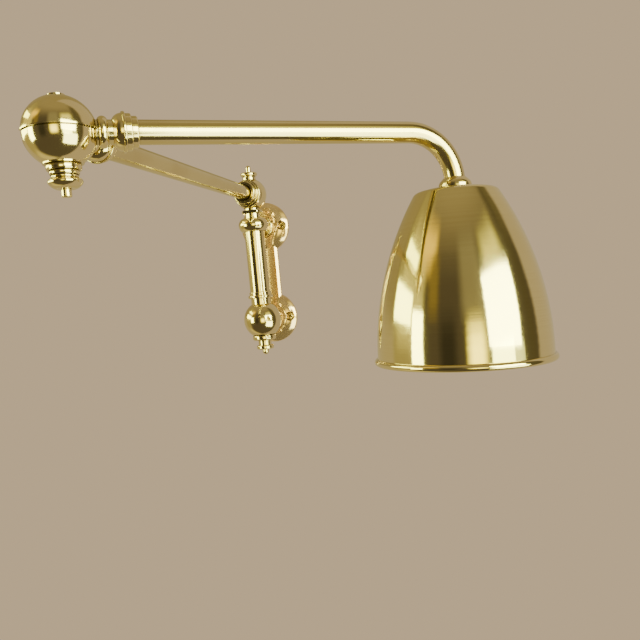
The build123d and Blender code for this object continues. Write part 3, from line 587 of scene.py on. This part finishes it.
@dataclass(frozen=True)
class Coat:
    """A finish on solids of the frame.

    Args:
        finish: The finish.
        axis: The axis that its marks follow.
        nodes: Names of the solids.
    """

    finish: Finish
    axis: Axis
    nodes: tuple[str, ...]

    def lay(self) -> None:
        """Gives the solids the finish."""
        for node in self.nodes:
            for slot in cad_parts[node].material_slots:
                slot.material = self.finish.material(self.axis)
            log.info("dressed %s in %s", node, self.finish.name)


@dataclass(frozen=True)
class Corner:
    """A corner of a turned outline, in millimetres.

    Args:
        radius: Distance from the axis.
        height: Distance along the axis.
        ease: Radius that rounds the corner.
    """

    radius: float
    height: float
    ease: float = 0.0


def eased(corners: Sequence[Corner], count: int = 5) -> list[tuple[float, float]]:
    """Rounds the corners that have an ease.

    Args:
        corners: The outline; its first and last corners have no ease.
        count: Steps in each rounded corner.

    Returns:
        Radius and height of each point.
    """
    points: list[tuple[float, float]] = []
    for number, corner in enumerate(corners):
        here = Vector((corner.radius, corner.height))
        if corner.ease <= 0:
            points.append(tuple(here))
            continue
        before, after = corners[number - 1], corners[number + 1]
        back = (Vector((before.radius, before.height)) - here).normalized()
        ahead = (Vector((after.radius, after.height)) - here).normalized()
        half = back.angle(ahead) / 2
        run = corner.ease / tan(half)
        middle = here + (back + ahead).normalized() * (corner.ease / sin(half))
        start = here + back * run - middle
        end = here + ahead * run - middle
        turn = start.angle_signed(end)
        for step in range(count + 1):
            spoke = start.copy()
            spoke.rotate(Matrix.Rotation(-turn * step / count, 2))
            points.append(tuple(middle + spoke))
    return points


class Bench:
    """Steps of modelling that the pieces share."""

    @staticmethod
    def clear() -> None:
        """Leaves edit mode and deselects everything."""
        if bpy.context.object and bpy.context.object.mode != "OBJECT":
            bpy.ops.object.mode_set(mode="OBJECT")
        bpy.ops.object.select_all(action="DESELECT")

    @staticmethod
    def pick(piece: bpy.types.Object) -> None:
        """Selects one piece alone.

        Args:
            piece: The piece.
        """
        Bench.clear()
        bpy.context.view_layer.objects.active = piece
        piece.select_set(True)

    @staticmethod
    def finish(name: str) -> bpy.types.Object:
        """Leaves edit mode and settles the active piece in the frame.

        Args:
            name: Name of the piece.

        Returns:
            The piece, at the origin with its place in its mesh.
        """
        bpy.ops.object.mode_set(mode="OBJECT")
        piece = bpy.context.object
        piece.name = name
        piece.data.name = name
        bpy.ops.object.transform_apply(location=True, rotation=True, scale=True)
        bpy.ops.object.shade_smooth_by_angle(angle=SMOOTH_ANGLE)
        return piece

    @staticmethod
    def turn(name: str, axis: Axis, corners: Sequence[Corner], steps: int) -> bpy.types.Object:
        """Turns an outline about an axis: one point is drawn out along the outline and spun.

        Args:
            name: Name of the piece.
            axis: The turning axis.
            corners: The outline, from the axis round to the axis.
            steps: Number of steps round the axis.

        Returns:
            The turned piece.
        """
        points = [axis.place(*point) for point in eased(corners)]
        Bench.clear()
        bpy.ops.mesh.primitive_plane_add(size=MM, location=points[0])
        bpy.ops.object.mode_set(mode="EDIT")
        bpy.ops.mesh.merge(type="CENTER")
        for here, there in zip(points, points[1:]):
            bpy.ops.mesh.extrude_region_move(TRANSFORM_OT_translate={"value": there - here})
        bpy.ops.mesh.select_all(action="SELECT")
        bpy.ops.mesh.spin(steps=steps, angle=2 * pi, center=axis.origin, axis=axis.direction)
        bpy.ops.mesh.select_all(action="SELECT")
        bpy.ops.mesh.remove_doubles(threshold=MERGE_DISTANCE)
        bpy.ops.mesh.normals_make_consistent(inside=False)
        return Bench.finish(name)

    @staticmethod
    def cut(piece: bpy.types.Object, cutter: bpy.types.Object) -> None:
        """Cuts one piece with another, which is used up.

        Args:
            piece: The piece that is cut.
            cutter: The shape that is taken out.
        """
        Bench.pick(piece)
        modifier = piece.modifiers.new("cut", "BOOLEAN")
        modifier.operation = "DIFFERENCE"
        modifier.object = cutter
        modifier.solver = "EXACT"
        bpy.ops.object.modifier_apply(modifier=modifier.name)
        bpy.data.objects.remove(cutter)


@dataclass(frozen=True)
class SubAssembly:
    """A group of pieces that belong together.

    Args:
        coats: Finishes of its solids.
    """

    coats: tuple[Coat, ...] = ()

    def build(self) -> None:
        """Makes the pieces that the solids don't have, if there are any."""

    def dress(self) -> None:
        """Gives the solids their finishes."""
        for coat in self.coats:
            coat.lay()


@dataclass(frozen=True)
class WallBracket(SubAssembly):
    """Backplate, post and the fixed pieces of the wall pivot, with sizes in millimetres.

    Args:
        coats: Finishes of its solids.
        screw_spacing: Distance between the two screws of a rose.
        screw_tip: Height of the screw's cut end above the wall face.
        shank_radius: Radius of the screw's shank.
        head_radius: Radius of the screw's head.
        head_height: Height of the head's rim above the wall face.
        head_land: Height of the rim.
        head_draft: How much the rim narrows upwards.
        head_ease: Radius of the rim's edges.
        dome_height: Height of the head's dome above the rim.
        dome_corner: Radius and height of the dome's corner, as shares of the head and the dome.
        dome_ease: Radius that rounds the dome's corner.
        turning_steps: Steps round the screw.
        cross_turns: Turns of the two bars of the recess, in degrees.
        cross_arm: Length of the recess from its middle.
        cross_width: Width of the recess.
        cross_depth: Depth of the recess.
        cross_spare: How far a bar stands out of the head before it is cut.
        cross_taper: Size of a bar's inner end, as shares of its outer end.
    """

    coats: tuple[Coat, ...] = (
        Coat(CAST_BRASS, PIVOT_AXIS, ("backplate",)),
        Coat(TURNED_BRASS, PIVOT_AXIS, ("upper_knuckle", "lower_ball")),
        Coat(TURNED_BRASS, PIVOT_AXIS, ("post_collar", "swivel_washer")),
        Coat(DRAWN_BRASS, PIVOT_AXIS, ("post_tube",)),
        Coat(BUSH_BRONZE, PIVOT_AXIS, ("upper_bush", "lower_bush")),
        Coat(ZINC_STEEL, PIVOT_AXIS, ("upper_stem_nut", "lower_stem_nut")),
    )
    screw_spacing: float = 34.6
    screw_tip: float = 0.6
    shank_radius: float = 1.9
    head_radius: float = 4.15
    head_height: float = 3.75
    head_land: float = 0.3
    head_draft: float = 0.1
    head_ease: float = 0.2
    dome_height: float = 0.45
    dome_corner: Span = (0.6, 0.7)
    dome_ease: float = 2.0
    turning_steps: int = 48
    cross_turns: Span = (28.0, 118.0)
    cross_arm: float = 2.35
    cross_width: float = 0.95
    cross_depth: float = 1.7
    cross_spare: float = 0.2
    cross_taper: tuple[float, float, float] = (0.45, 1.0, 0.55)

    def build(self) -> None:
        """Makes the wall screws."""
        rise, side = LAYOUT.rose_spacing / 2, self.screw_spacing / 2
        for row, height in (("upper", rise), ("lower", -rise)):
            for column, across in (("left", -side), ("right", side)):
                self._screw(f"wall_screw_{row}_{column}", Vector((across, 0, height)) * MM)

    def _screw(self, name: str, place: Vector) -> None:
        """Makes one countersunk screw with a cross recess and puts it in the frame.

        Args:
            name: Name of the screw.
            place: Its point on the wall face, in metres.
        """
        axis = Axis(name, place, OUT, RIGHT)
        rim_foot = self.head_height - self.head_land
        cone = self.head_radius - self.shank_radius
        wide, high = self.dome_corner
        outline = [
            Corner(0, self.screw_tip),
            Corner(self.shank_radius, self.screw_tip),
            Corner(self.shank_radius, rim_foot - cone),
            Corner(self.head_radius, rim_foot, self.head_ease),
            Corner(self.head_radius - self.head_draft, self.head_height, self.head_ease),
            Corner(
                self.head_radius * wide, self.head_height + self.dome_height * high, self.dome_ease
            ),
            Corner(0, self.head_height + self.dome_height),
        ]
        screw = Bench.turn(name, axis, outline, self.turning_steps)
        for turn in self.cross_turns:
            Bench.cut(screw, self._cross_bar(place, radians(turn)))
        Bench.pick(screw)
        bpy.ops.object.shade_smooth_by_angle(angle=SMOOTH_ANGLE)
        screw.data.materials.clear()
        screw.data.materials.append(SCREW_BRASS.material(axis))
        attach(screw, "wall_bracket")
        log.info("made %s, %d faces", name, len(screw.data.polygons))

    def _cross_bar(self, place: Vector, turn: float) -> bpy.types.Object:
        """Makes one tapered bar of the cross recess.

        Args:
            place: The screw's point on the wall face, in metres.
            turn: Turn of the bar about the screw, in radians.

        Returns:
            The bar, to be cut out of the screw.
        """
        Bench.clear()
        top = self.head_height + self.dome_height + self.cross_spare
        tall = self.cross_depth + self.cross_spare
        middle = place + OUT * (top - tall / 2) * MM
        bpy.ops.mesh.primitive_cube_add(size=MM, location=middle, rotation=(0, turn, 0))
        bar = bpy.context.object
        bar.scale = (2 * self.cross_arm, tall, self.cross_width)
        bpy.ops.object.transform_apply(location=False, rotation=False, scale=True)
        bpy.ops.object.mode_set(mode="EDIT")
        bpy.ops.mesh.select_all(action="DESELECT")
        bpy.ops.object.mode_set(mode="OBJECT")
        for face in bar.data.polygons:
            face.select = face.normal.dot(-OUT) > FACING
        bpy.ops.object.mode_set(mode="EDIT")
        bpy.ops.transform.resize(value=self.cross_taper)
        return Bench.finish("cross_bar")


@dataclass(frozen=True)
class InnerArm(SubAssembly):
    """Wall elbow, inner arm and the hinge eye."""

    coats: tuple[Coat, ...] = (
        Coat(TURNED_BRASS, PIVOT_AXIS, ("wall_elbow", "thrust_ring")),
        Coat(TURNED_BRASS, PIVOT_AXIS, ("top_finial", "bottom_finial")),
        Coat(TURNED_BRASS, INNER_AXIS, ("socket_collar", "inner_arm_collar", "hinge_eye")),
        Coat(DRAWN_BRASS, INNER_AXIS, ("inner_arm_tube",)),
        Coat(ZINC_STEEL, PIVOT_AXIS, ("pivot_spindle",)),
    )


@dataclass(frozen=True)
class BallJoint(SubAssembly):
    """The hollow ball between the arms."""

    coats: tuple[Coat, ...] = (
        Coat(TURNED_BRASS, BALL_AXIS, ("ball_bowl", "ball_lid", "hinge_bolt")),
        Coat(TURNED_BRASS, BALL_AXIS, ("ball_base_ring", "ball_finial")),
        Coat(DARK_FIBRE, BALL_AXIS, ("upper_friction_washer", "lower_friction_washer")),
    )


@dataclass(frozen=True)
class OuterArm(SubAssembly):
    """Outer arm with its gooseneck."""

    coats: tuple[Coat, ...] = (
        Coat(TURNED_BRASS, OUTER_AXIS, ("outer_arm_collar",)),
        Coat(DRAWN_BRASS, OUTER_AXIS, ("outer_arm_tube",)),
    )


@dataclass(frozen=True)
class ShadeGroup(SubAssembly):
    """Shade, its collar and the lampholder inside."""

    coats: tuple[Coat, ...] = (
        Coat(SPUN_BRASS, SHADE_AXIS, ("shade",)),
        Coat(TURNED_BRASS, SHADE_AXIS, ("shade_collar", "lampholder_cap")),
        Coat(ZINC_STEEL, SHADE_AXIS, ("shade_washer", "lock_nut", "nipple")),
        Coat(BAKELITE, SHADE_AXIS, ("lampholder_body",)),
        Coat(LAMP_NICKEL, SHADE_AXIS, ("lamp_shell", "centre_contact")),
    )


@dataclass(frozen=True)
class SoftBox:
    """A soft rectangular light.

    Args:
        name: Name of the light.
        azimuth: Degrees to the right of straight out from the backplate.
        elevation: Degrees above the level of the shade.
        distance: Distance from the shade, in metres.
        width: Width, in metres.
        height: Height, in metres.
        glow: Brightness of its face.
        colour: Colour of the light.
        tilt: Degrees that the light is turned in its own plane.
    """

    name: str
    azimuth: float
    elevation: float
    distance: float
    width: float
    height: float
    glow: float
    colour: Colour
    tilt: float = 0.0

    def hang(self, target: Vector) -> None:
        """Hangs the light so that it faces a point.

        Args:
            target: The point, in metres.
        """
        turn, rise = radians(self.azimuth), radians(self.elevation)
        away = Vector((sin(turn) * cos(rise), -cos(turn) * cos(rise), sin(rise)))
        light = bpy.data.lights.new(self.name, "AREA")
        light.shape = "RECTANGLE"
        light.size = self.width
        light.size_y = self.height
        light.energy = self.glow * self.width * self.height * pi
        light.color = self.colour
        lamp = bpy.data.objects.new(self.name, light)
        bpy.context.scene.collection.objects.link(lamp)
        lamp.location = target + away * self.distance
        tilted = Matrix.Rotation(radians(self.tilt), 3, "Z")
        lamp.rotation_euler = (away.to_track_quat("Z", "Y").to_matrix() @ tilted).to_euler()
        lamp.visible_camera = False


@dataclass(frozen=True)
class Zone:
    """A soft-edged part of the surroundings.

    Args:
        name: Label of the zone.
        colour: Its colour.
        azimuths: Its sides, in degrees to the right of straight out from the backplate.
        elevations: Its lower and upper edges, in degrees.
        soft_side: Half width of the blurred sides, in degrees.
        soft_edge: Half width of the blurred lower and upper edges, in degrees.
    """

    name: str
    colour: Colour
    azimuths: Span = (-200.0, 200.0)
    elevations: Span = (-120.0, 120.0)
    soft_side: float = 6.0
    soft_edge: float = 6.0

    def cover(
        self, bench: NodeBench, azimuth: object, elevation: object, under: object
    ) -> bpy.types.NodeSocket:
        """Paints the zone over what is under it.

        Args:
            bench: The surroundings' nodes.
            azimuth: Socket of the direction's azimuth, in radians.
            elevation: Socket of its elevation, in radians.
            under: Colour so far, or its socket.

        Returns:
            Socket of the colour with the zone in it.
        """
        share = bench.math(
            "MULTIPLY",
            self._within(bench, azimuth, self.azimuths, self.soft_side),
            self._within(bench, elevation, self.elevations, self.soft_edge),
        )
        painted = bench.mix(share, under, rgba(self.colour))
        painted.node.label = self.name
        return painted

    @staticmethod
    def _within(bench: NodeBench, angle: object, span: Span, blur: float) -> bpy.types.NodeSocket:
        """Tells whether an angle is inside a span, with blurred ends.

        Args:
            bench: The surroundings' nodes.
            angle: Socket of the angle, in radians.
            span: Ends of the span, in degrees.
            blur: Half width of the blurred ends, in degrees.

        Returns:
            Socket of a number that is 1 inside the span and 0 outside.
        """
        low, high = span
        risen = bench.spread(angle, (radians(low - blur), radians(low + blur)), (0.0, 1.0))
        fallen = bench.spread(angle, (radians(high - blur), radians(high + blur)), (1.0, 0.0))
        return bench.math("MULTIPLY", risen, fallen)


@dataclass(frozen=True)
class Studio:
    """Floor, surroundings, lights and camera, in metres and degrees.

    Args:
        backdrop: Plain colour behind the lamp, as the camera sees it.
        dimness: Colour of the surroundings outside all zones.
        floor_colour: Colour of the floor.
        floor_shade: What the floor's faint patches multiply its colour by.
        floor_patch_scale: Patches to the metre.
        floor_roughness: Roughness of the floor.
        floor_glow: Pale light of the floor itself, which evens it out far from the lights.
        floor_height: Height of the floor.
        floor_size: Length of its sides.
        floor_middle: Its middle, to the right and into the backplate.
        camera_place: Place of the camera.
        camera_yaw: Turn of the camera to the left.
        camera_pitch: Its tilt upwards.
        camera_roll: Its turn about its own axis.
        focal_share: Focal length as a share of the sensor's width.
        sensor_width: Width of the sensor, in millimetres.
        nearest: Nearest distance that the camera sees.
        light_drop: Depth below the shade's crown that the lights face, in millimetres.
        zones: Parts of the surroundings, each over those before it.
        lights: The soft lights.
    """

    backdrop: Colour = (0.6, 0.45, 0.27)
    dimness: Colour = (0.106, 0.085, 0.054)
    floor_colour: Colour = (0.66, 0.62, 0.88)
    floor_shade: float = 0.94
    floor_patch_scale: float = 2.0
    floor_roughness: float = 0.8
    floor_glow: Colour = (0.27, 0.24, 0.2)
    floor_height: float = -1.8
    floor_size: float = 8.0
    floor_middle: tuple[float, float] = (0.0, -2.1)
    camera_place: tuple[float, float, float] = (0.196512, -0.577751, -0.017834)
    camera_yaw: float = 14.727
    camera_pitch: float = -2.967
    camera_roll: float = 5.322
    focal_share: float = 637.353 / 640
    sensor_width: float = 36.0
    nearest: float = 0.01
    light_drop: float = 60.0
    zones: tuple[Zone, ...] = (
        Zone("overhead", (0.39, 0.31, 0.155), elevations=(48, 120), soft_edge=22),
        Zone("underneath", (0.11, 0.09, 0.055), elevations=(-120, -50), soft_edge=20),
        Zone("low_left", (0.8, 0.66, 0.26), (-150, -75), (-75, -20), soft_side=10, soft_edge=10),
        Zone("front_haze", (0.33, 0.28, 0.15), (3, 34), (12, 48), soft_side=7, soft_edge=8),
        Zone("low_front", (5.0, 4.3, 0.75), (9, 29), (-12, 9), soft_side=6, soft_edge=8),
        Zone("above_key", (1.4, 1.24, 0.3), (43, 77), (27, 42), soft_side=8, soft_edge=8),
        Zone("left_haze", (0.46, 0.375, 0.14), (-108, -64), (-30, 56), soft_side=6, soft_edge=10),
        Zone("left_glow", (0.86, 0.72, 0.22), (-94, -52), (2, 42), soft_side=5, soft_edge=6),
        Zone("amber_high", (1.7, 1.15, 0.12), (-66, -38), (33, 48), soft_side=6, soft_edge=8),
        Zone("amber_low", (0.28, 0.2, 0.05), (-44, -30), (15, 38), soft_side=5, soft_edge=7),
        Zone("dark_front", (0.05, 0.042, 0.026), (-27, -7), (-18, 13), soft_side=6, soft_edge=9),
        Zone("dark_right", (0.11, 0.088, 0.045), (88, 105), (-40, 60), soft_side=8, soft_edge=14),
        Zone("behind_right", (0.56, 0.455, 0.29), (108, 260), soft_side=4),
        Zone("dark_top_right", (0.16, 0.128, 0.06), (97, 112), (32, 62), soft_side=6, soft_edge=8),
        Zone("behind_left", (0.38, 0.3, 0.14), (-260, -108), soft_side=4),
        Zone("low_behind", (0.54, 0.44, 0.23), (-260, -100), (-120, 6), soft_side=5, soft_edge=6),
    )
    lights: tuple[SoftBox, ...] = (
        SoftBox(
            "key_light", azimuth=56, elevation=13, distance=1.6,
            width=1.3, height=0.88, glow=15.0, colour=(0.97, 1.0, 0.5), tilt=-4.0,
        ),
        SoftBox(
            "key_low", azimuth=51, elevation=-7, distance=1.6,
            width=0.84, height=0.39, glow=9.0, colour=(0.95, 1.0, 0.4),
        ),
        SoftBox(
            "key_low_side", azimuth=73.5, elevation=-8, distance=1.6,
            width=0.38, height=0.36, glow=1.6, colour=(0.95, 1.0, 0.4),
        ),
        SoftBox(
            "under_right", azimuth=62, elevation=-30, distance=1.6,
            width=1.3, height=0.96, glow=7.0, colour=(0.96, 1.0, 0.5),
        ),
        SoftBox(
            "fill_left", azimuth=-57.5, elevation=2, distance=1.3,
            width=0.365, height=0.55, glow=12.0, colour=(0.95, 1.0, 0.36),
        ),
        SoftBox(
            "fill_far_left", azimuth=-84, elevation=13.6, distance=1.3,
            width=0.74, height=0.29, glow=9.0, colour=(0.95, 1.0, 0.3),
        ),
        SoftBox(
            "fill_top_left", azimuth=-82.5, elevation=31.5, distance=1.3,
            width=0.6, height=0.16, glow=6.0, colour=(0.96, 1.0, 0.2),
        ),
    )

    def build(self) -> None:
        """Sets up the floor, the surroundings, the lights and the camera."""
        self._floor()
        self._surroundings()
        for light in self.lights:
            light.hang(SHADE_AXIS.place(0, -self.light_drop))
        self._camera()

    def _floor(self) -> None:
        """Lays a plain pale floor."""
        Bench.clear()
        middle = (*self.floor_middle, self.floor_height)
        bpy.ops.mesh.primitive_plane_add(size=self.floor_size, location=middle)
        floor = bpy.context.object
        floor.name = "floor"
        paint, bench = blank_material("floor_paint")
        place = bench.add("ShaderNodeTexCoord").outputs["Object"]
        patches = bench.noise(place, self.floor_patch_scale, detail=2.0)
        darker = tuple(part * self.floor_shade for part in self.floor_colour)
        inputs = {
            "Base Color": bench.mix(patches, rgba(self.floor_colour), rgba(darker)),
            "Roughness": self.floor_roughness,
            "Emission Color": rgba(self.floor_glow),
            "Emission Strength": 1.0,
        }
        shader = bench.add("ShaderNodeBsdfPrincipled", inputs)
        bench.add("ShaderNodeOutputMaterial", {"Surface": shader.outputs["BSDF"]})
        floor.data.materials.append(paint)
        floor.visible_glossy = False

    def _surroundings(self) -> None:
        """Paints the soft surroundings zone by zone, with a plain backdrop for the camera."""
        world = bpy.data.worlds.new("studio")
        bpy.context.scene.world = world
        world.use_nodes = True
        bench = NodeBench(world.node_tree)
        look = bench.add("ShaderNodeTexCoord").outputs["Generated"]
        parts = bench.add("ShaderNodeSeparateXYZ", {"Vector": look}).outputs
        outwards = bench.math("MULTIPLY", parts["Y"], -1.0)
        azimuth = bench.math("ARCTAN2", parts["X"], outwards)
        elevation = bench.math("ARCSINE", parts["Z"])
        colour: object = rgba(self.dimness)
        for zone in self.zones:
            colour = zone.cover(bench, azimuth, elevation, colour)
        seen = bench.add("ShaderNodeLightPath").outputs["Is Camera Ray"]
        colour = bench.mix(seen, colour, rgba(self.backdrop))
        glow = bench.add("ShaderNodeBackground", {"Color": colour, "Strength": 1.0})
        bench.add("ShaderNodeOutputWorld", {"Surface": glow.outputs["Background"]})

    def _camera(self) -> None:
        """Sets the camera where the lamp was seen from."""
        yaw, pitch, roll = map(radians, (self.camera_yaw, self.camera_pitch, self.camera_roll))
        ahead = Vector((-sin(yaw) * cos(pitch), cos(yaw) * cos(pitch), sin(pitch)))
        level = Vector((cos(yaw), sin(yaw), 0))
        upright = level.cross(ahead)
        across = level * cos(roll) - upright * sin(roll)
        top = level * sin(roll) + upright * cos(roll)
        data = bpy.data.cameras.new("camera")
        data.sensor_width = self.sensor_width
        data.lens = self.sensor_width * self.focal_share
        data.clip_start = self.nearest
        camera = bpy.data.objects.new("camera", data)
        bpy.context.scene.collection.objects.link(camera)
        turn = Matrix((across, top, -ahead)).transposed().to_4x4()
        camera.matrix_world = Matrix.Translation(self.camera_place) @ turn
        bpy.context.scene.camera = camera


def main() -> None:
    """Builds and dresses the lamp and sets up the studio."""
    logging.basicConfig(level=logging.INFO, format="%(message)s")
    for group in (WallBracket(), InnerArm(), BallJoint(), OuterArm(), ShadeGroup()):
        group.build()
        group.dress()
    Studio().build()


if __name__ == "__main__":
    main()
